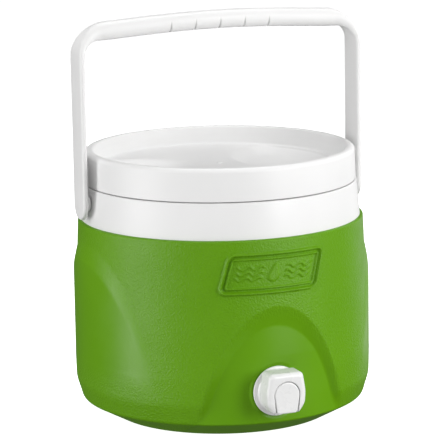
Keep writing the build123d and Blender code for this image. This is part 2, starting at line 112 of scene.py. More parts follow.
# Badge. BADGE_S and BADGE_Z are its middle, along the girth and up. A bead is (inset, half width, height).
# The drop's and the waves' heights are from the badge's middle.
BADGE_S = -1.7
BADGE_Z = 154.0
BADGE_W = 97.0
BADGE_H = 38.5
BADGE_LEAN = 11.0
BADGE_CORNER = 8.0
BADGE_MARGIN = 0.5
BADGE_BEADS = ((1.9, 1.8, 2.7), (6.2, 1.3, 2.2))
FIELD_INSET = 3.2
FIELD_DEPTH = 0.6
FIELD_EDGE = 1.2
DROP_R = 5.2
DROP_TIP = 8.4
DROP_TAPER = 13.0
DROP_ROUND = -2.6
DROP_RELIEF = 1.5
DROP_EDGE = 1.1
WAVE_LEVELS = (-4.6, 0.2, 5.0)
WAVE_FROM = 10.0
WAVE_TO = 37.0
WAVE_FADE = 2.0
WAVE_PITCH = 12.0
WAVE_SWING = 1.5
WAVE_BEAD = 1.4

# Tap
TAP_Z = (TAP_LOW.z + TAP_HIGH.z) / 2
TAP_FLANGE_R = (TAP_HIGH.x - TAP_LOW.x) / 2
FLANGE_Y = -131.8
SEAT_Y = -130.8
SEAT_R = 24.0
SEAT_EDGE = 1.5
SHANK_R = 12.0
SHANK_BORE_R = 8.0
SHANK_FRONT_Y = -139.0
HOUSING_Z = 48.0
HOUSING_EDGE = 4.2
HOUSING_BACK_Y = -137.0
HOUSING_FRONT_Y = TAP_LOW.y
SPOUT_Y = -139.8
SPOUT_R = 6.3
SPOUT_BORE_R = 4.5
SPOUT_LOW_Z = TAP_LOW.z + 6.3
WINDOW_LOW_Z = 24.0
WINDOW_BACK_Y = -147.0
HOLLOW_HALF = 13.0
HOLLOW_TOP_Z = 40.0
HOLLOW_FRONT_Y = -144.5
HOLLOW_BACK_Y = -139.5
TAP_VOXEL = 0.42
BUTTON_HALF = 12.0
BUTTON_CROWN_Z = 46.5
BUTTON_FOOT_IN = 2.6
BUTTON_CORNER = 1.2
BUTTON_LEAN = 0.9
SPRING_TURNS = 6
SPRING_TURN_STEPS = 36
SPRING_WIRE_R = 0.8
SPRING_WIRE_SIDES = 12

# Collar and thread ribs
COLLAR_WALL = 3.0
DECK_H = 11.0
DECK_R = 126.5
DECK_T = 3.5
NECK_R = 120.2
NECK_INNER_R = 118.0
PIN_HOLE_R = 5.06
PIN_BOSS_R = 9.0
PIN_BOSS_X = (118.5, 127.0)
RIB_STARTS = 6
RIB_ARC = 40.0
RIB_H = 2.2
RIB_LIFT = 3.0
RIB_STEPS = 24
RIB_TAPER = 6
RIB_OVERLAP = 0.12

# Lid
LID_R = LID_HIGH.x
LID_TOP = LID_HIGH.z
LID_BOTTOM = LID_LOW.z
LID_WALL = 2.4
DISH_Z = 231.5
DISH_R = 108.5
POCKET_DEPTH = 8.0
POCKET_R = 77.0
POCKET_OFFSET = 100.6
POCKET_OUTER_R = 106.5
POCKET_BLEND = 8.0
POCKET_EDGE = 14.0
POCKET_SOFT = 0.22
LID_GRIP_ANGLE = math.radians(5)
GATE_R = 3.2
GATE_EDGE = 1.2
GATE_H = 0.8

# Bail
PIVOT_Z = (PIN_LOW.z + PIN_HIGH.z) / 2
STRAP_OUT_X = BAIL_HIGH.x
STRAP_T = 5.0
STRAP_W = BAIL_HIGH.y - BAIL_LOW.y
STRAP_EDGE_R = 2.2
BAR_D = 17.0
BAR_EDGE_R = 7.4
BAR_RISE = 4.5
BAR_RISE_POWER = 1.35
BAR_Z = BAIL_HIGH.z - BAR_RISE - BAR_D / 2
CORNER_R = 30.0
CORNER_INNER_R = 15.0
GROOVES_A_SIDE = 2
GROOVE_PITCH = 24.0
GROOVE_HALF = 0.95
GROOVE_DEPTH = 1.5
GROOVE_REACH = 1.3
STATION_PITCH = 3.5
BAIL_BOSS_R = 7.5
BAIL_BOSS_X = (129.0, 134.0)
BAIL_BORE_R = 5.0


# ---------------------------------------------------------------- outlines and meshes

def rounded(points, closed=True, step=8):
    """(x, y, corner radius) points as a line whose corners are arcs of one point every step degrees."""
    line = []
    count = len(points)
    for i, (x, y, radius) in enumerate(points):
        corner = np.array((x, y), float)
        if radius == 0 or (not closed and i in (0, count - 1)):
            line.append(corner)
            continue
        before = np.array(points[i - 1][:2], float) - corner
        after = np.array(points[(i + 1) % count][:2], float) - corner
        before /= np.linalg.norm(before)
        after /= np.linalg.norm(after)
        half = 0.5 * math.acos(float(np.clip(before @ after, -1, 1)))
        sweep = math.pi - 2 * half
        middle = before + after
        centre = corner + middle / np.linalg.norm(middle) * radius / math.sin(half)
        start = corner + before * radius / math.tan(half) - centre
        end = corner + after * radius / math.tan(half) - centre
        pieces = max(2, round(math.degrees(sweep) / step))
        for k in range(pieces + 1):
            t = k / pieces
            spoke = math.sin((1 - t) * sweep) * start + math.sin(t * sweep) * end
            line.append(centre + spoke / math.sin(sweep))
    return np.array(line)


def grid_faces(rows, columns, close_rows=True):
    """Quads over a grid whose columns close on themselves, and whose rows do too if close_rows."""
    faces = []
    for i in range(rows if close_rows else rows - 1):
        low = i * columns
        high = (i + 1) % rows * columns
        for j in range(columns):
            k = (j + 1) % columns
            faces.append((low + j, low + k, high + k, high + j))
    return faces


def turn_out(mesh, merge=0.0):
    """Merges points closer than merge, in millimetres, turns the faces out and shades them smooth."""
    work = bmesh.new()
    work.from_mesh(mesh)
    if merge:
        bmesh.ops.remove_doubles(work, verts=work.verts, dist=merge * MM)
    bmesh.ops.recalc_face_normals(work, faces=work.faces)
    for face in work.faces:
        face.smooth = True
    work.to_mesh(mesh)
    work.free()


def new_mesh(name, points, faces):
    """A clean smooth-shaded mesh from points in millimetres."""
    mesh = bpy.data.meshes.new(name)
    mesh.from_pydata((np.asarray(points, float) * MM).tolist(), [], faces)
    turn_out(mesh, 0.005)
    return mesh


def add_object(name, data):
    """An object that holds a mesh, a light or a camera, in the scene."""
    thing = bpy.data.objects.new(name, data)
    bpy.context.scene.collection.objects.link(thing)
    return thing


def place(thing, material, body, slot, *nodes):
    """Gives a piece its material and body, and hides the CAD nodes that it stands for; slot is not used."""
    thing.data.materials.clear()
    thing.data.materials.append(material)
    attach(thing, body)
    if nodes:
        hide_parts(*nodes)
    return thing


def around(columns):
    """Evenly spaced angles from the front, all the way round."""
    return np.arange(columns) * 2 * math.pi / columns


def circle(angle, r, z):
    """Points at some angles from the front, at a radius and a height."""
    return np.column_stack((r * np.sin(angle), -r * np.cos(angle), np.full_like(angle, z)))


def turned(outline, columns):
    """Points and faces of a closed outline of (radius, height) turned about Z."""
    angle = around(columns)
    return np.concatenate([circle(angle, r, z) for r, z in outline]), grid_faces(len(outline), columns)


def along_y(points):
    """Turned points laid along Y at the tap: height becomes Y."""
    return np.column_stack((points[:, 0], points[:, 2], TAP_Z + points[:, 1]))


def lofted(loops):
    """Points and faces through loops with the same number of points, closed with a fan at each end."""
    loops = [np.asarray(loop, float) for loop in loops]
    ends = [np.repeat(loop.mean(axis=0)[None], len(loop), axis=0) for loop in (loops[0], loops[-1])]
    loops = [ends[0], *loops, ends[1]]
    return np.concatenate(loops), grid_faces(len(loops), len(loops[0]), close_rows=False)


def joined(*parts):
    """Several (points, faces) as one."""
    points, faces, start = [], [], 0
    for part_points, part_faces in parts:
        points.append(part_points)
        faces += [tuple(start + i for i in face) for face in part_faces]
        start += len(part_points)
    return np.concatenate(points), faces


def smooth_step(t):
    """From 0 at t = 0 to 1 at t = 1, with flat ends."""
    t = np.clip(t, 0, 1)
    return t * t * (3 - 2 * t)


def ramp(t, soft):
    """From 0 at t = 0 to 1 at t = 1, straight between, with both ends rounded over soft."""
    low = 0.5 * (np.sqrt(t * t + soft * soft) + t)
    high = 0.5 * (np.sqrt((t - 1) ** 2 + soft * soft) + (t - 1))
    return low - high


def moulded(name, solid, cuts, voxel, smoothing):
    """A solid with the cuts taken away and softened edges: remeshed and smoothed."""
    base = add_object(name, new_mesh(name, *solid))
    helpers = []
    for points, faces in cuts:
        helper = add_object(name + "_helper", new_mesh(name + "_helper", points, faces))
        helpers.append(helper)
        boolean = base.modifiers.new("boolean", "BOOLEAN")
        boolean.operation = "DIFFERENCE"
        boolean.solver = "EXACT"
        boolean.object = helper
    remesh = base.modifiers.new("remesh", "REMESH")
    remesh.mode = "VOXEL"
    remesh.voxel_size = voxel * MM
    remesh.use_smooth_shade = True
    smooth = base.modifiers.new("smooth", "SMOOTH")
    smooth.factor = 0.5
    smooth.iterations = smoothing
    shape = bpy.data.meshes.new_from_object(base.evaluated_get(bpy.context.evaluated_depsgraph_get()))
    for helper in [base, *helpers]:
        bpy.data.objects.remove(helper)
    shape.name = name
    return add_object(name, shape)


# ---------------------------------------------------------------- materials

def start_material(name):
    """A new material with its node tree and its shader."""
    material = bpy.data.materials.new(name)
    material.use_nodes = True
    return material, material.node_tree, material.node_tree.nodes["Principled BSDF"]


def texture(tree, kind, scale):
    """A texture node in object space; scale is features per metre."""
    coordinates = tree.nodes.new("ShaderNodeTexCoord")
    node = tree.nodes.new(kind)
    node.inputs["Scale"].default_value = scale
    tree.links.new(coordinates.outputs["Object"], node.inputs["Vector"])
    return node


def noise(tree, scale, detail, roughness=0.5):
    """Soft noise between 0 and 1."""
    node = texture(tree, "ShaderNodeTexNoise", scale)
    node.inputs["Detail"].default_value = detail
    node.inputs["Roughness"].default_value = roughness
    return node.outputs["Fac"]


def cells(tree, scale, feature):
    """The distance from the middles of scattered cells."""
    node = texture(tree, "ShaderNodeTexVoronoi", scale)
    node.feature = feature
    return node.outputs["Distance"]


def map_range(tree, source, low, high, out_low, out_high):
    """A value's share of the way from low to high, as a value between out_low and out_high."""
    node = tree.nodes.new("ShaderNodeMapRange")
    for name, value in (("From Min", low), ("From Max", high), ("To Min", out_low), ("To Max", out_high)):
        node.inputs[name].default_value = value
    tree.links.new(source, node.inputs["Value"])
    return node.outputs["Result"]


def calculate(tree, operation, first, second):
    """One operation on two values, each a number or a socket."""
    node = tree.nodes.new("ShaderNodeMath")
    node.operation = operation
    for socket, value in zip(node.inputs, (first, second)):
        if isinstance(value, (int, float)):
            socket.default_value = value
        else:
            tree.links.new(value, socket)
    return node.outputs["Value"]


def mix_colour(tree, share, first, second):
    """A share of the way from one colour to another, each a triple or a socket."""
    node = tree.nodes.new("ShaderNodeMix")
    node.data_type = "RGBA"
    tree.links.new(share, node.inputs["Factor"])
    for name, value in (("A", first), ("B", second)):
        socket = next(s for s in node.inputs if s.name == name and s.type == "RGBA")
        if isinstance(value, tuple):
            socket.default_value = (*value, 1)
        else:
            tree.links.new(value, socket)
    return next(s for s in node.outputs if s.type == "RGBA")


def edge_wear(tree, spot_scale, most):
    """Up to most on sharply convex edges, in spots."""
    geometry = tree.nodes.new("ShaderNodeNewGeometry")
    edges = map_range(tree, geometry.outputs["Pointiness"], 0.52, 0.62, 0, 1)
    spots = map_range(tree, noise(tree, spot_scale, 4), 0.45, 0.7, 0, most)
    return calculate(tree, "MULTIPLY", edges, spots)


def add_bump(tree, shader, height, distance, strength, under=None):
    """Bumps the shader's surface, over an earlier bump if under is given; distance is in metres."""
    node = tree.nodes.new("ShaderNodeBump")
    node.inputs["Distance"].default_value = distance
    node.inputs["Strength"].default_value = strength
    tree.links.new(height, node.inputs["Height"])
    if under is not None:
        tree.links.new(under, node.inputs["Normal"])
    tree.links.new(node.outputs["Normal"], shader.inputs["Normal"])
    return node.outputs["Normal"]


def plastic(name, dark, light, worn, roughness, grain_scale, grain_depth):
    """Moulded plastic: slow colour drift, paler worn edges, uneven gloss and a fine grain."""
    material, tree, shader = start_material(name)
    drift = map_range(tree, noise(tree, 9, 4), 0.3, 0.7, 0, 1)
    colour = mix_colour(tree, drift, dark, light)
    wear = edge_wear(tree, 160, 0.7)
    tree.links.new(mix_colour(tree, wear, colour, worn), shader.inputs["Base Color"])
    smudges = map_range(tree, noise(tree, 35, 5, 0.6), 0.3, 0.7, -0.05, 0.05)
    tree.links.new(calculate(tree, "ADD", smudges, roughness), shader.inputs["Roughness"])
    broad = add_bump(tree, shader, noise(tree, 28, 2), 0.0006, 0.12)
    add_bump(tree, shader, noise(tree, grain_scale, 3), grain_depth, 0.5, broad)
    return material


GREEN_DARK = (0.104, 0.280, 0.0003)
GREEN_LIGHT = (0.118, 0.306, 0.0004)
# Painted shade: a darker green that is mixed into the low valleys of the shell's grain.
GREEN_VALLEY_SHADE = (0.080, 0.230, 0.0003)
GREEN_WORN = (0.22, 0.46, 0.05)
GREEN_SPECULAR = 0.36


def green_plastic():
    """Coloured shell plastic: a leathery grain where the mesh's grain attribute is 1, smoother elsewhere."""
    material, tree, shader = start_material("green_plastic")
    drift = map_range(tree, noise(tree, 7, 4), 0.3, 0.7, 0, 1)
    colour = mix_colour(tree, drift, GREEN_DARK, GREEN_LIGHT)
    attribute = tree.nodes.new("ShaderNodeAttribute")
    attribute.attribute_name = "grain"
    grain = attribute.outputs["Fac"]
    leather = cells(tree, 620, "SMOOTH_F1")
    pores = noise(tree, 900, 3, 0.6)
    height = calculate(tree, "ADD", leather, calculate(tree, "MULTIPLY", pores, 0.6))
    # Painted shade: the grain's low valleys are mixed towards a darker green, by the grain's height.
    valley_shade = calculate(tree, "MULTIPLY", map_range(tree, height, 0.35, 0.6, 0.22, 0), grain)
    colour = mix_colour(tree, valley_shade, colour, GREEN_VALLEY_SHADE)
    wear = edge_wear(tree, 140, 0.45)
    tree.links.new(mix_colour(tree, wear, colour, GREEN_WORN), shader.inputs["Base Color"])
    smudges = map_range(tree, noise(tree, 40, 5, 0.6), 0.3, 0.7, 0.33, 0.42)
    rough = calculate(tree, "MULTIPLY", grain, 0.06)
    tree.links.new(calculate(tree, "ADD", smudges, rough), shader.inputs["Roughness"])
    shader.inputs["Specular IOR Level"].default_value = GREEN_SPECULAR
    broad = add_bump(tree, shader, noise(tree, 30, 2), 0.0008, 0.12)
    fine = add_bump(tree, shader, noise(tree, 1500, 2), 0.00006, 0.4, broad)
    add_bump(tree, shader, calculate(tree, "MULTIPLY", height, grain), 0.0004, 1.0, fine)
    return material


def foam():
    """Rigid poured foam: cream, open cells, matte."""
    material, tree, shader = start_material("insulation_foam")
    drift = noise(tree, 60, 5)
    colour = mix_colour(tree, drift, (0.62, 0.53, 0.30), (0.80, 0.72, 0.47))
    tree.links.new(colour, shader.inputs["Base Color"])
    tree.links.new(map_range(tree, drift, 0, 1, 0.8, 0.95), shader.inputs["Roughness"])
    add_bump(tree, shader, cells(tree, 700, "F1"), 0.0005, 0.7)
    return material


def steel():
    """Drawn stainless steel with fine scratches."""
    material, tree, shader = start_material("stainless_steel")
    shader.inputs["Metallic"].default_value = 1.0
    colour = mix_colour(tree, noise(tree, 220, 4), (0.42, 0.42, 0.43), (0.62, 0.61, 0.60))
    tree.links.new(colour, shader.inputs["Base Color"])
    scratches = noise(tree, 1800, 4, 0.7)
    tree.links.new(map_range(tree, scratches, 0.2, 0.8, 0.22, 0.45), shader.inputs["Roughness"])
    add_bump(tree, shader, scratches, 0.00004, 0.35)
    return material


def rubber():
    """Dark sealing rubber with a dusty bloom."""
    material, tree, shader = start_material("seal_rubber")
    bloom = map_range(tree, noise(tree, 300, 5), 0.35, 0.7, 0, 1)
    colour = mix_colour(tree, bloom, (0.012, 0.012, 0.012), (0.035, 0.035, 0.036))
    tree.links.new(colour, shader.inputs["Base Color"])
    tree.links.new(map_range(tree, bloom, 0, 1, 0.55, 0.8), shader.inputs["Roughness"])
    add_bump(tree, shader, noise(tree, 1400, 3), 0.00005, 0.5)
    return material


WHITE = plastic(
    "white_plastic", dark=(0.745, 0.743, 0.740), light=(0.785, 0.783, 0.780), worn=(0.88, 0.88, 0.88),
    roughness=0.42, grain_scale=1300, grain_depth=0.00007,
)
TAP_WHITE = plastic(
    "tap_plastic", dark=(0.76, 0.76, 0.757), light=(0.80, 0.80, 0.797), worn=(0.9, 0.9, 0.9),
    roughness=0.3, grain_scale=1500, grain_depth=0.00004,
)
STEM_GREY = plastic(
    "stem_plastic", dark=(0.55, 0.55, 0.55), light=(0.62, 0.62, 0.62), worn=(0.7, 0.7, 0.7),
    roughness=0.35, grain_scale=1500, grain_depth=0.00004,
)
GREEN = green_plastic()
STEEL = steel()
MATERIALS = {
    "green_plastic": GREEN,
    "white_plastic": WHITE,
    "tap_plastic": TAP_WHITE,
    "stem_plastic": STEM_GREY,
    "insulation_foam": foam(),
    "stainless_steel": STEEL,
    "seal_rubber": rubber(),
}


def finish_cad_nodes():
    """Every CAD node that stays in view gets the material of its slot."""
    for subpart in frame["record"]["subparts"]:
        mesh = frame["nodes"][subpart["node"]].data
        mesh.materials.clear()
        mesh.materials.append(MATERIALS[subpart["material_slot"]])


# ---------------------------------------------------------------- outer shell

def arch_share(across, z, arch):
    """0 outside an arch's band, 1 inside it, sloping across the band with rounded edges."""
    height = z - arch["centre"]
    reach = np.maximum(np.hypot(across, height), 1.0)
    power = arch["power"]
    edges = []
    for half_width, top in (arch["outer"], arch["inner"]):
        share = (np.abs(across) / reach / half_width) ** power + (np.abs(height) / reach / top) ** power
        edges.append(share ** (-1 / power))
    band = edges[0] - edges[1]
    return ramp((edges[0] - reach) / band, ARCH_EDGE / band)


def badge_across(s, z):
    """How far a point is to the side of the badge's leaning middle line."""
    return s - BADGE_S - BADGE_LEAN * (z - BADGE_Z) / BADGE_H


def badge_depth(s, z):
    """How far inside the badge's leaning, round-cornered outline a point is."""
    x = np.abs(badge_across(s, z)) - (BADGE_W / 2 - BADGE_CORNER)
    y = np.abs(z - BADGE_Z) - (BADGE_H / 2 - BADGE_CORNER)
    outside = np.hypot(np.maximum(x, 0), np.maximum(y, 0))
    return BADGE_CORNER - outside - np.minimum(np.maximum(x, y), 0)


def bead(distance, half, height):
    """A raised line with a round top."""
    return height * 0.5 * (1 + np.cos(math.pi * np.clip(distance / half, -1, 1)))


def badge_relief(s, z):
    """Two beads round a sunk field with a plain drop between two groups of waves."""
    depth = badge_depth(s, z)
    height = sum(bead(depth - inset, half, tall) for inset, half, tall in BADGE_BEADS)
    height = height - FIELD_DEPTH * smooth_step((depth - FIELD_INSET) / FIELD_EDGE)
    beside = np.abs(badge_across(s, z))
    y = z - BADGE_Z
    tip = DROP_R * np.sqrt(np.clip((DROP_TIP - y) / DROP_TAPER, 0, 1)) - beside
    round_end = DROP_R - np.hypot(beside, y - DROP_ROUND)
    drop = np.maximum(np.where(y > DROP_ROUND, tip, round_end), round_end)
    height = height + DROP_RELIEF * smooth_step(drop / DROP_EDGE + 0.4)
    ends = smooth_step((beside - WAVE_FROM) / WAVE_FADE) * smooth_step((WAVE_TO - beside) / WAVE_FADE)
    swing = WAVE_SWING * np.sin((beside - WAVE_FROM) * 2 * math.pi / WAVE_PITCH)
    for level in WAVE_LEVELS:
        height = height + bead(y - level - swing, WAVE_BEAD, WAVE_BEAD) * ends
    return height * (depth > -BADGE_MARGIN)


def shell_surface(angle, r, z, wall):
    """A row of the shell's outside, or the plainer one that lies wall inside it, and the row's grain."""
    z = np.full_like(angle, z)
    in_front = np.cos(angle) > 0
    outside = in_front * (wall == 0)
    sunk = arch_share(r * np.sin(angle), z, FRONT_ARCH) * in_front
    lean = np.clip((FRONT_ARCH_LEAN_Z - z) / FRONT_ARCH_LEAN_H, 0, 1) ** FRONT_ARCH_LEAN_POWER
    recess_r = FRONT_ARCH_TOP_R + (FRONT_ARCH_LOW_R - FRONT_ARCH_TOP_R) * lean
    r = r - np.maximum(r - recess_r, 0) * sunk
    off_side = np.abs(np.abs(angle) - math.pi / 2) * GIRTH_R
    proud = arch_share(off_side, z, SIDE_ARCH) * smooth_step((z - SIDE_ARCH_LOW_Z) / SIDE_ARCH_FADE_H)
    r = r + np.maximum(SIDE_ARCH_R - r, 0) * proud
    r = r + badge_relief(angle * GIRTH_R, z) * outside - wall
    x, y, z = circle(angle, r, z).T
    seat = smooth_step((SEAT_R + SEAT_EDGE - np.hypot(x, z - TAP_Z)) / SEAT_EDGE) * outside
    y = y + (SEAT_Y - y) * seat
    smooth = np.clip(sunk * RECESS_SMOOTH + proud * PAD_SMOOTH, 0, 1)
    return np.column_stack((x, y, z)), 1 - smooth


def outer_shell():
    """The green shell: fine steps where the badge and the front arch are, coarser elsewhere."""
    fine_half = 62.0
    fine = np.arange(-fine_half, fine_half, 0.75) / GIRTH_R
    coarse = np.linspace(fine_half / GIRTH_R, 2 * math.pi - fine_half / GIRTH_R, 400, endpoint=False)
    angle = (np.concatenate((fine, coarse)) + math.pi) % (2 * math.pi) - math.pi
    side = rounded(SHELL_SIDE, closed=False, step=5)
    heights = [
        np.linspace(0, 2.2, 6)[1:],
        np.arange(3.5, 14, 1.8),
        np.arange(14.2, 22, 0.6),
        np.arange(22.5, 132, 1.0),
        np.arange(132.5, 174.5, 0.7),
        np.arange(175, SHELL_TOP - 2, 1.2),
        np.linspace(SHELL_TOP - 1.6, SHELL_TOP, 8),
    ]
    z = np.concatenate(heights)
    inner_z = np.concatenate(([SHELL_TOP], z[z > 19][-2::-3]))
    outside, inside = [
        np.column_stack((np.interp(level, side[:, 1], side[:, 0]), level)) for level in (z, inner_z)
    ]
    under = rounded(
        [(FLOOR_HOLE_R, FLOOR_Z, 0), (85, FLOOR_Z, 2), (FOOT_INNER_R, 0, 1.5), (FOOT_R - 2.5, 0, 0)],
        closed=False,
    )
    floor_top = FLOOR_Z + SHELL_WALL
    floor = [(126.0, 16.5), (100.5, SHELL_WALL), (90.5, SHELL_WALL), (90.0, floor_top)]
    floor.append((FLOOR_HOLE_R, floor_top))
    rows = []
    grain = []
    for line, wall in ((under, None), (outside, 0.0), (inside, SHELL_WALL), (floor, None)):
        for r, height in line:
            if wall is None:
                row, rough = circle(angle, r, height), np.zeros_like(angle)
            else:
                row, rough = shell_surface(angle, r, height, wall)
            rows.append(row)
            grain.append(rough)
    mesh = bpy.data.meshes.new("outer_shell_visual")
    mesh.from_pydata((np.concatenate(rows) * MM).tolist(), [], grid_faces(len(rows), len(angle)))
    attribute = mesh.attributes.new("grain", "FLOAT", "POINT")
    attribute.data.foreach_set("value", np.concatenate(grain).astype(np.float32))
    turn_out(mesh)
    place(add_object("outer_shell_visual", mesh), GREEN, "jug", "green_plastic", "outer_shell")


# ---------------------------------------------------------------- collar and lid

def thread_ribs(r_root, r_crest, z_low):
    """Short slanting ribs with tapered ends round a cylinder."""
    ribs = []
    for start in range(RIB_STARTS):
        loops = []
        for t in np.arange(RIB_STEPS + 1) / RIB_STEPS:
            swell = min(1, RIB_TAPER * t, RIB_TAPER * (1 - t)) ** 0.5
            angle = math.radians(start * 360 / RIB_STARTS + 90 + (t - RIB_OVERLAP) * RIB_ARC)
            z = z_low + RIB_H / 2 + RIB_LIFT * t
            loop = []
            for out, up in ((0, -RIB_H / 2), (1, -RIB_H / 5), (1, RIB_H / 5), (0, RIB_H / 2)):
                r = r_root + out * (r_crest - r_root) * swell
                loop.append((r * math.sin(angle), -r * math.cos(angle), z + up * max(swell, 0.2)))
            loops.append(loop)
        ribs.append(lofted(loops))
    return ribs


def pin_bosses(outline):
    """A closed outline of (radius, x) turned about the bail's pivot line, on both sides."""
    points, faces = turned(outline, 64)
    along_x = np.column_stack((points[:, 2], points[:, 0], PIVOT_Z + points[:, 1]))
    return [(along_x * (side, 1, 1), faces) for side in (-1, 1)]


def collar_ring():
    """The white ring with its neck, threads and the two bosses for the bail's pins."""
    neck_top = COLLAR_HIGH.z
    deck_z = neck_top - DECK_H
    skirt_r = COLLAR_HIGH.x
    profile = rounded(
        [
            (skirt_r - COLLAR_WALL, COLLAR_LOW.z, 0.5),
            (skirt_r, COLLAR_LOW.z, 0.5),
            (skirt_r, SHELL_TOP, 0),
            (DECK_R, deck_z, 1.2),
            (NECK_R, deck_z, 0.6),
            (NECK_R, neck_top, 0.6),
            (NECK_INNER_R, neck_top, 0.6),
            (NECK_INNER_R, deck_z - DECK_T, 0),
            (DECK_R - COLLAR_WALL, deck_z - DECK_T, 0.5),
            (skirt_r - COLLAR_WALL, SHELL_TOP, 0),
        ]
    )
    ribs = thread_ribs(NECK_R - 0.3, NECK_R + 1.5, deck_z + 2.5)
    near, far = PIN_BOSS_X
    bosses = pin_bosses([(PIN_HOLE_R, near), (PIN_BOSS_R, near), (PIN_BOSS_R, far), (PIN_HOLE_R, far)])
    mesh = new_mesh("collar_visual", *joined(turned(profile, 288), *ribs, *bosses))
    place(add_object("collar_visual", mesh), WHITE, "jug", "white_plastic", "collar_ring")


def dish_row(angle, r, down=0.0):
    """A circle on the lid's dish, with its two finger pockets and the moulding gate, or down below it."""
    row = circle(angle, r, 0)
    x, y = row[:, 0], row[:, 1]
    inside = POCKET_OUTER_R - np.hypot(x, y)
    pocket = np.zeros_like(x)
    for side in (-1, 1):
        px = side * POCKET_OFFSET * math.cos(LID_GRIP_ANGLE)
        py = side * POCKET_OFFSET * math.sin(LID_GRIP_ANGLE)
        scoop = POCKET_R - np.hypot(x - px, y - py)
        edges = [np.exp(-np.clip(edge, -60, 90) / POCKET_BLEND) for edge in (inside, scoop)]
        both = -POCKET_BLEND * np.log(edges[0] + edges[1])
        pocket = np.maximum(pocket, ramp((both + 2.0) / POCKET_EDGE, POCKET_SOFT))
    gate = GATE_H * smooth_step((GATE_R - np.hypot(x, y)) / GATE_EDGE)
    row[:, 2] = DISH_Z - POCKET_DEPTH * np.clip(pocket, 0, 1) * (inside > -POCKET_BLEND) + gate - down
    return row


def lid_shell():
    """The lid: a round-edged rim, a dish with a concave wall, and the pockets, over a hollow underside."""
    angle = around(320)
    flat_r = DISH_R - 1.5
    inner_r = LID_R - LID_WALL
    floor_r = np.concatenate((np.linspace(0, 4, 7), np.arange(5.2, flat_r, 1.25)))
    rim = rounded(
        [
            (flat_r, DISH_Z, 0),
            (DISH_R + 1.0, DISH_Z, 3.0),
            (114.2, 239.5, 12.0),
            (117.0, LID_TOP, 3.0),
            (LID_R - 0.9, LID_TOP, 4.5),
            (LID_R, LID_BOTTOM, 0.7),
            (inner_r, LID_BOTTOM, 0.5),
            (inner_r - 0.7, LID_TOP - LID_WALL, 2.0),
            (118.9, LID_TOP - LID_WALL, 2.0),
            (115.4, 236.5, 8.0),
            (DISH_R + 1.5, DISH_Z - LID_WALL, 2.0),
            (flat_r, DISH_Z - LID_WALL, 0),
        ],
        closed=False,
        step=7,
    )
    rows = [dish_row(angle, r) for r in floor_r]
    rows += [circle(angle, r, z) for r, z in rim]
    rows += [dish_row(angle, r, LID_WALL) for r in floor_r[::-2]]
    top = np.concatenate(rows), grid_faces(len(rows), len(angle), close_rows=False)
    ribs = thread_ribs(inner_r + 0.1, inner_r - 1.4, LID_BOTTOM + 1.7)
    mesh = new_mesh("lid_visual", *joined(top, *ribs))
    place(add_object("lid_visual", mesh), WHITE, "lid", "white_plastic", "lid_shell")


# ---------------------------------------------------------------- bail

def section(thickness, width, radius):
    """A rounded rectangle as (across, along Y) points; across is the thickness."""
    line = []
    for turn, (sx, sy) in enumerate(((1, 1), (-1, 1), (-1, -1), (1, -1))):
        corner = np.array((sx * (thickness / 2 - radius), sy * (width / 2 - radius)))
        for a in np.radians(90 * turn + np.linspace(0, 90, 7)):
            line.append(corner + radius * np.array((math.cos(a), math.sin(a))))
    return np.array(line)


def corner_reach(start, direction, corner, radius):
    """How far from start, along a direction up and out, the sides of a rounded corner are met."""
    reach = min((corner - start)[axis] / direction[axis] for axis in (0, 1) if direction[axis] > 1e-6)
    off = start - (corner - radius)
    if min(off + reach * direction) > 0:
        along = off @ direction
        reach = -along + math.sqrt(along * along - off @ off + radius * radius)
    return reach


def bail_stations():
    """The bail's right half from the foot up: (middle, outward direction, thickness, width, edge radius)."""
    strap_x = STRAP_OUT_X - STRAP_T / 2
    outer = np.array((STRAP_OUT_X, BAR_Z + BAR_D / 2))
    inner = np.array((STRAP_OUT_X - STRAP_T, BAR_Z - BAR_D / 2))
    centre = (outer - CORNER_R + inner - CORNER_INNER_R) / 2
    outward = np.array((1.0, 0.0))
    up = np.array((0.0, 1.0))
    stations = []
    foot_r = STRAP_W / 2
    for a in np.radians(np.linspace(2, 90, 24)):
        z = PIVOT_Z - foot_r * math.cos(a)
        width = 2 * foot_r * math.sin(a)
        left = max(STRAP_EDGE_R - foot_r * (1 - math.cos(a)), 0)
        thickness = STRAP_T - 2 * (STRAP_EDGE_R - math.sqrt(STRAP_EDGE_R**2 - left**2))
        radius = min(STRAP_EDGE_R, 0.49 * thickness, 0.49 * width)
        stations.append((np.array((strap_x, z)), outward, thickness, width, radius))
    for z in np.linspace(PIVOT_Z, centre[1], 30)[1:-1]:
        stations.append((np.array((strap_x, z)), outward, STRAP_T, STRAP_W, STRAP_EDGE_R))
    for a in np.radians(np.linspace(0, 90, 31)):
        out = np.array((math.cos(a), math.sin(a)))
        far = corner_reach(centre, out, outer, CORNER_R)
        near = corner_reach(centre, out, inner, CORNER_INNER_R)
        share = smooth_step(a / (math.pi / 2))
        width = STRAP_W + (BAR_D - STRAP_W) * share
        radius = min(STRAP_EDGE_R + (BAR_EDGE_R - STRAP_EDGE_R) * share, 0.49 * (far - near))
        stations.append((centre + out * (far + near) / 2, out, far - near, width, radius))
    across_groove = np.linspace(-GROOVE_REACH, GROOVE_REACH, 9)
    grooves = np.concatenate([g * GROOVE_PITCH + across_groove for g in range(GROOVES_A_SIDE + 1)])
    between = np.arange(2.5, centre[0], STATION_PITCH)
    near_groove = np.min(np.abs(between[:, None] - grooves[None]), axis=1) < 1.2
    for x in np.sort(np.concatenate((grooves[grooves >= 0], between[~near_groove])))[::-1]:
        rise = BAR_RISE * (1 - (x / centre[0]) ** 2) ** BAR_RISE_POWER
        past = max(x - (outer[0] - CORNER_R), 0)
        drop = CORNER_R - math.sqrt(CORNER_R**2 - past**2)
        stations.append((np.array((x, BAR_Z + rise - drop / 2)), up, BAR_D - drop, BAR_D, BAR_EDGE_R))
    return stations


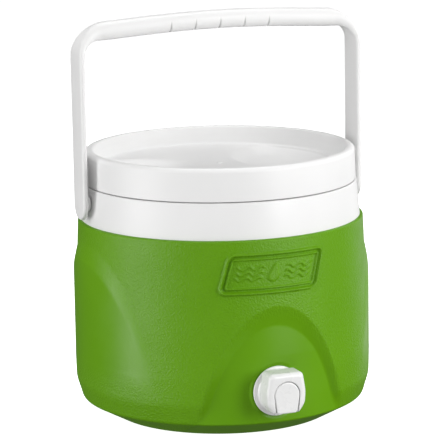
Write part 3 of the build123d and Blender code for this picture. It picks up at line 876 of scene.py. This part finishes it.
def grooved(outline, x):
    """The bar's section at x, drawn in on its lower half where one of the narrow grooves is."""
    off = abs((x + GROOVE_PITCH / 2) % GROOVE_PITCH - GROOVE_PITCH / 2)
    if abs(x) > (GROOVES_A_SIDE + 0.5) * GROOVE_PITCH or off >= GROOVE_HALF:
        return outline
    depth = GROOVE_DEPTH * math.cos(off / GROOVE_HALF * math.pi / 2) ** 0.5
    lower = smooth_step((1.0 - outline[:, :1]) / 4.0)
    return outline * (1 - depth * lower / np.linalg.norm(outline, axis=1, keepdims=True))


def bail_handle():
    """The white bail swept through its stations, with the bosses that its pins go into."""
    half = bail_stations()
    mirror = np.array((-1, 1))
    other_half = [
        (middle * mirror, out * mirror, *sizes) for middle, out, *sizes in half[::-1] if middle[0] > 0.01
    ]
    loops = []
    for middle, out, thickness, width, radius in half + other_half:
        outline = section(thickness, width, radius)
        if abs(out[0]) < 0.01:
            outline = grooved(outline, middle[0])
        x = middle[0] + out[0] * outline[:, 0]
        z = middle[1] + out[1] * outline[:, 0]
        loops.append(np.column_stack((x, outline[:, 1], z)))
    near, far = BAIL_BOSS_X
    boss = [(BAIL_BORE_R, near, 0), (BAIL_BOSS_R, near, 0.6), (BAIL_BOSS_R, far, 0), (BAIL_BORE_R, far, 0)]
    bosses = pin_bosses(rounded(boss))
    mesh = new_mesh("bail_visual", *joined(lofted(loops), *bosses))
    place(add_object("bail_visual", mesh), WHITE, "bail", "white_plastic", "bail_handle")


# ---------------------------------------------------------------- tap

def arch_outline(margin, bottom_z):
    """The push button's outline in (x, z), enlarged by margin: a round top and drawn-in legs."""
    half = BUTTON_HALF + margin
    top = [(half * math.cos(a), BUTTON_CROWN_Z + half * math.sin(a)) for a in np.linspace(0, math.pi, 41)]
    foot = half - BUTTON_FOOT_IN
    heel = (foot + 0.3, bottom_z + BUTTON_CORNER)
    toe = (foot - BUTTON_CORNER, bottom_z)
    return np.array(top + [(-heel[0], heel[1]), (-toe[0], toe[1]), toe, heel])


def slice_y(outline, y):
    """An (x, z) outline as points at a Y."""
    return np.column_stack((outline[:, 0], np.broadcast_to(y, len(outline)), outline[:, 1]))


def prism_y(outline, y_from, y_to):
    """An (x, z) outline run along Y."""
    return lofted([slice_y(outline, y_from), slice_y(outline, y_to)])


def housing_outline():
    """The housing from the front, in (x, z): flat top, bulging sides and large lower corners."""
    right = [(15.9, 66.5, 4.2), (18.9, 48.5, 30), (17.9, 37.5, 12), (12.4, 29.5, 3.5)]
    left = [(-x, z, r) for x, z, r in right[::-1]]
    return rounded(right + left, step=6)


def housing_block():
    """The housing's outside: its outline run forward, with a well rounded front edge."""
    outline = housing_outline()
    centre = np.array((0, HOUSING_Z))
    half_width = BUTTON_HIGH.x + 6.5
    stations = [(0.6, HOUSING_BACK_Y), (0.0, HOUSING_BACK_Y - 0.6)]
    for a in np.radians(np.linspace(0, 80, 9)):
        inset = HOUSING_EDGE * (1 - math.cos(a))
        stations.append((inset, HOUSING_FRONT_Y + HOUSING_EDGE * (1 - math.sin(a))))
    loops = [slice_y(centre + (outline - centre) * (1 - inset / half_width), y) for inset, y in stations]
    return lofted(loops)


def spout_cylinder(radius, z_low):
    """A cylinder about the spout's line, from z_low up to the tap's middle."""
    points, faces = turned([(0, z_low), (radius, z_low), (radius, TAP_Z), (0, TAP_Z)], 96)
    return points + (0, SPOUT_Y, 0), faces


def tap():
    """The tap: a turned flange and shank, and the moulded housing with its window and spout."""
    shank = rounded(
        [
            (SHANK_BORE_R, TAP_HIGH.y, 0.4),
            (SHANK_R, TAP_HIGH.y, 0.8),
            (SHANK_R, FLANGE_Y, 0.4),
            (TAP_FLANGE_R, FLANGE_Y, 0.3),
            (TAP_FLANGE_R, -133.4, 0.9),
            (19.4, -134.2, 0.6),
            (18.4, -135.9, 0.9),
            (15.6, -136.3, 0.5),
            (15.2, SHANK_FRONT_Y, 0),
            (SHANK_BORE_R, SHANK_FRONT_Y, 0),
        ]
    )
    points, faces = turned(shank, 160)
    flange = add_object("tap_shank_visual", new_mesh("tap_shank_visual", along_y(points), faces))
    window = prism_y(arch_outline(0.5, WINDOW_LOW_Z), WINDOW_BACK_Y, HOUSING_FRONT_Y - 3)
    behind = [
        (-HOLLOW_HALF, WINDOW_LOW_Z),
        (HOLLOW_HALF, WINDOW_LOW_Z),
        (HOLLOW_HALF, HOLLOW_TOP_Z),
        (-HOLLOW_HALF, HOLLOW_TOP_Z),
    ]
    hollow = prism_y(np.array(behind), HOLLOW_FRONT_Y, HOLLOW_BACK_Y)
    housing = moulded("tap_housing_visual", housing_block(), [window, hollow], TAP_VOXEL, 5)
    tube = spout_cylinder(SPOUT_R, SPOUT_LOW_Z)
    spout = moulded("tap_spout_visual", tube, [spout_cylinder(SPOUT_BORE_R, 20.0)], TAP_VOXEL, 4)
    for piece in (flange, housing, spout):
        place(piece, TAP_WHITE, "jug", "tap_plastic", "tap_body")


# The button's face from its back edge to the middle, as (scale, lift); FULL_LIFT reaches its front.
BUTTON_FACE = (
    (0.99, 0), (1.0, 0.3), (1.0, 2.3), (0.99, 2.8), (0.965, 3.2), (0.93, 3.4), (0.88, 3.42),
    (0.7, 3.3), (0.5, 3.2), (0.3, 3.15),
)
FULL_LIFT = 3.42


def push_button():
    """The thumb button: rounded edges, a gently hollowed face that leans out at the foot."""
    outline = arch_outline(0.0, BUTTON_LOW.z)
    centre = np.array((0, (BUTTON_LOW.z + BUTTON_HIGH.z) / 2))
    depth = BUTTON_HIGH.y - BUTTON_LOW.y
    tall = BUTTON_HIGH.z - BUTTON_LOW.z
    loops = []
    for scale, lift in BUTTON_FACE:
        scaled = centre + (outline - centre) * scale
        lean = BUTTON_LEAN * np.minimum((scaled[:, 1] - BUTTON_LOW.z) / tall, 1)
        loops.append(slice_y(scaled, BUTTON_HIGH.y + lift / FULL_LIFT * (lean - depth)))
    mesh = new_mesh("push_button_visual", *lofted(loops))
    place(add_object("push_button_visual", mesh), TAP_WHITE, "button", "tap_plastic", "push_button")


def return_spring():
    """The coil round the stem."""
    coil_r = SPRING_HIGH.x - SPRING_WIRE_R
    start = SPRING_HIGH.y - SPRING_WIRE_R
    length = start - SPRING_LOW.y - SPRING_WIRE_R
    turns = 2 * math.pi * SPRING_TURNS
    loops = []
    for t in np.linspace(0, 1, SPRING_TURN_STEPS * SPRING_TURNS + 1):
        out = np.array((math.cos(turns * t), 0, math.sin(turns * t)))
        middle = coil_r * out + (0, start - length * t, TAP_Z)
        along = np.array((-coil_r * turns * out[2], -length, coil_r * turns * out[0]))
        side = np.cross(along / np.linalg.norm(along), out)
        turn = np.linspace(0, 2 * math.pi, SPRING_WIRE_SIDES, endpoint=False)[:, None]
        loops.append(middle + SPRING_WIRE_R * (np.cos(turn) * out + np.sin(turn) * side))
    coil = add_object("return_spring_visual", new_mesh("return_spring_visual", *lofted(loops)))
    place(coil, STEEL, "jug", "stainless_steel", "return_spring")
    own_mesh(coil)


# ---------------------------------------------------------------- studio

CAMERA_AZIMUTH = math.radians(-21.4)
CAMERA_ELEVATION = math.radians(12.42)
CAMERA_ROLL = math.radians(-0.8946)
CAMERA_TARGET = Vector((0, 0, 120)) * MM
CAMERA_DISTANCE = 2.5
CAMERA_LENS = 218.86
AIM_UP = math.radians(1.292)
AIM_LEFT = math.radians(0.0285)
WORLD_LIGHT = 0.08
FLOOR_GLOW = 0.95
FLOOR_UNDER_MM = 0.2

# Lights: name, azimuth, elevation, distance, width, height, power, and whether reflections show it.
# Azimuths are in degrees from the camera's side, distances and sizes in metres.
LIGHTS = (
    ("left_box", -67, 4, 1.7, 0.8, 1.6, 20, True),
    ("left_fill", -40, 10, 1.8, 1.2, 1.2, 3, False),
    ("right_box", 50, 14, 1.8, 0.42, 1.0, 16, True),
    ("right_fill", 84, 12, 1.8, 1.0, 1.4, 19, False),
    ("right_rim", 142, 6, 1.8, 0.8, 1.6, 4, True),
    ("back_fill", -150, 12, 1.8, 1.2, 1.2, 6, False),
    ("front_key", -6, 46, 1.8, 1.4, 1.2, 9, False),
    ("floor_bounce", -5, -38, 1.6, 1.6, 1.2, 6, False),
    ("back_top", 180, 74, 1.8, 1.4, 1.2, 17, True),
)


def toward(azimuth, elevation):
    """A direction from the jug: azimuth 0 is -Y, the front, and positive turns towards +X."""
    flat = math.cos(elevation)
    return Vector((math.sin(azimuth) * flat, -math.cos(azimuth) * flat, math.sin(elevation)))


def make_camera():
    """The photo's view, fitted to the jug's outline in it."""
    camera = add_object("camera", bpy.data.cameras.new("camera"))
    back = toward(CAMERA_AZIMUTH, CAMERA_ELEVATION)
    camera.location = CAMERA_TARGET + back * CAMERA_DISTANCE
    look = (-back).to_track_quat("-Z", "Y")
    roll = Quaternion((0, 0, 1), CAMERA_ROLL)
    aim = Quaternion((1, 0, 0), AIM_UP) @ Quaternion((0, 1, 0), AIM_LEFT)
    camera.rotation_mode = "QUATERNION"
    camera.rotation_quaternion = look @ roll @ aim
    camera.data.lens = CAMERA_LENS
    camera.data.clip_start = 0.1
    camera.data.clip_end = 100
    bpy.context.scene.camera = camera


def softbox(name, azimuth, elevation, distance, width, height, power, glossy):
    """A rectangular light that faces the jug."""
    light = bpy.data.lights.new(name, "AREA")
    light.shape = "RECTANGLE"
    light.size = width
    light.size_y = height
    light.energy = power
    lamp = add_object(name, light)
    way = toward(CAMERA_AZIMUTH + math.radians(azimuth), math.radians(elevation))
    lamp.location = CAMERA_TARGET + way * distance
    lamp.rotation_mode = "QUATERNION"
    lamp.rotation_quaternion = (-way).to_track_quat("-Z", "Y")
    lamp.visible_camera = False
    lamp.visible_glossy = glossy


def make_floor():
    """A wide pale floor that glows, so that the jug stands on plain white."""
    angle = around(96)
    radii = (0, 400, 1200, 4000, 16000)
    rows = [circle(angle, r, -FLOOR_UNDER_MM) for r in radii]
    mesh = new_mesh("floor", np.concatenate(rows), grid_faces(len(radii), len(angle), close_rows=False))
    for polygon in mesh.polygons:
        if polygon.normal.z < 0:
            polygon.flip()
    floor = add_object("floor", mesh)
    material, tree, shader = start_material("floor_paint")
    colour = mix_colour(tree, noise(tree, 3, 3), (0.90, 0.90, 0.90), (0.93, 0.93, 0.93))
    tree.links.new(colour, shader.inputs["Base Color"])
    shader.inputs["Roughness"].default_value = 0.7
    shader.inputs["Emission Color"].default_value = (1, 1, 1, 1)
    shader.inputs["Emission Strength"].default_value = FLOOR_GLOW
    mesh.materials.append(material)
    floor.visible_diffuse = False
    floor.visible_glossy = False
    floor.visible_shadow = False


def make_world():
    """Even white light from all round."""
    world = bpy.data.worlds.new("studio")
    world.use_nodes = True
    background = world.node_tree.nodes["Background"]
    background.inputs["Color"].default_value = (1, 1, 1, 1)
    background.inputs["Strength"].default_value = WORLD_LIGHT
    bpy.context.scene.world = world


def make_studio():
    """The floor, the world's light and the softboxes."""
    make_floor()
    make_world()
    for light in LIGHTS:
        softbox(*light)
    bpy.context.scene.view_settings.view_transform = "Standard"


make_camera()
finish_cad_nodes()
outer_shell()
collar_ring()
lid_shell()
bail_handle()
tap()
push_button()
return_spring()
make_studio()
